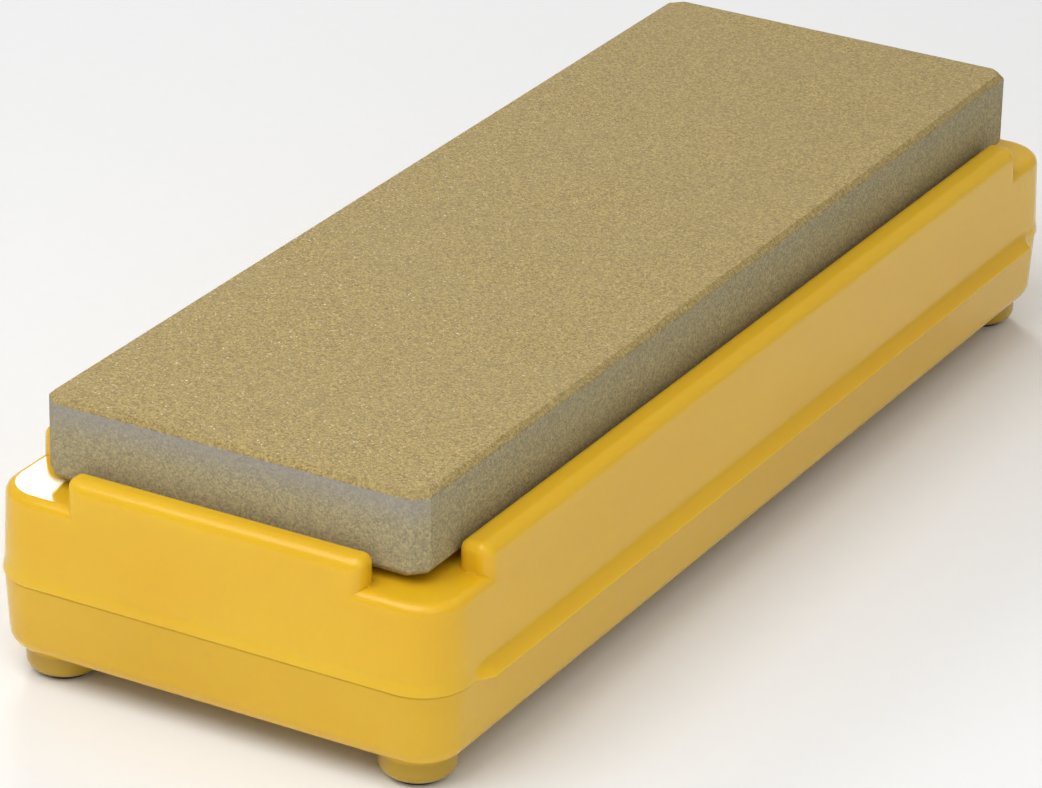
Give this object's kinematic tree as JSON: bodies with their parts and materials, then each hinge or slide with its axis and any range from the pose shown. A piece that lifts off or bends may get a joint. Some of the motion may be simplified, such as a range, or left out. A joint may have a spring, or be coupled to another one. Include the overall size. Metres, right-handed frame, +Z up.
{
  "type": "sharpening whetstone",
  "caption": "Flat rectangular ceramic whetstone lying between low rims on its split plastic storage case, which stands on rubber feet and serves as the sharpening base.",
  "frame": {"origin": "on the table, under the middle of the case", "axes": "+X across the stone, +Y along the stone, +Z up"},
  "size_m": [0.089, 0.2232, 0.0492],
  "materials": {
    "case_plastic": "satin-gloss moulded, slightly translucent yellow",
    "abrasive_ceramic": "matte fine-grained, speckled golden olive",
    "foot_rubber": "matte black"
  },
  "bodies": {
    "case_base": {"lower_case": "case_plastic", "foot_front_left": "foot_rubber", "foot_front_right": "foot_rubber", "foot_rear_left": "foot_rubber", "foot_rear_right": "foot_rubber"},
    "case_top": {"upper_case": "case_plastic"},
    "stone": {"whetstone": "abrasive_ceramic"}
  },
  "joints": [
    {"name": "case_opening", "type": "slide", "parent": "case_base", "child": "case_top", "axis": [0, 0, 1], "range_m": [0, 0.05]},
    {"name": "stone_removal", "type": "slide", "parent": "case_top", "child": "stone", "axis": [0, 0, 1], "range_m": [0, 0.04]}
  ]
}
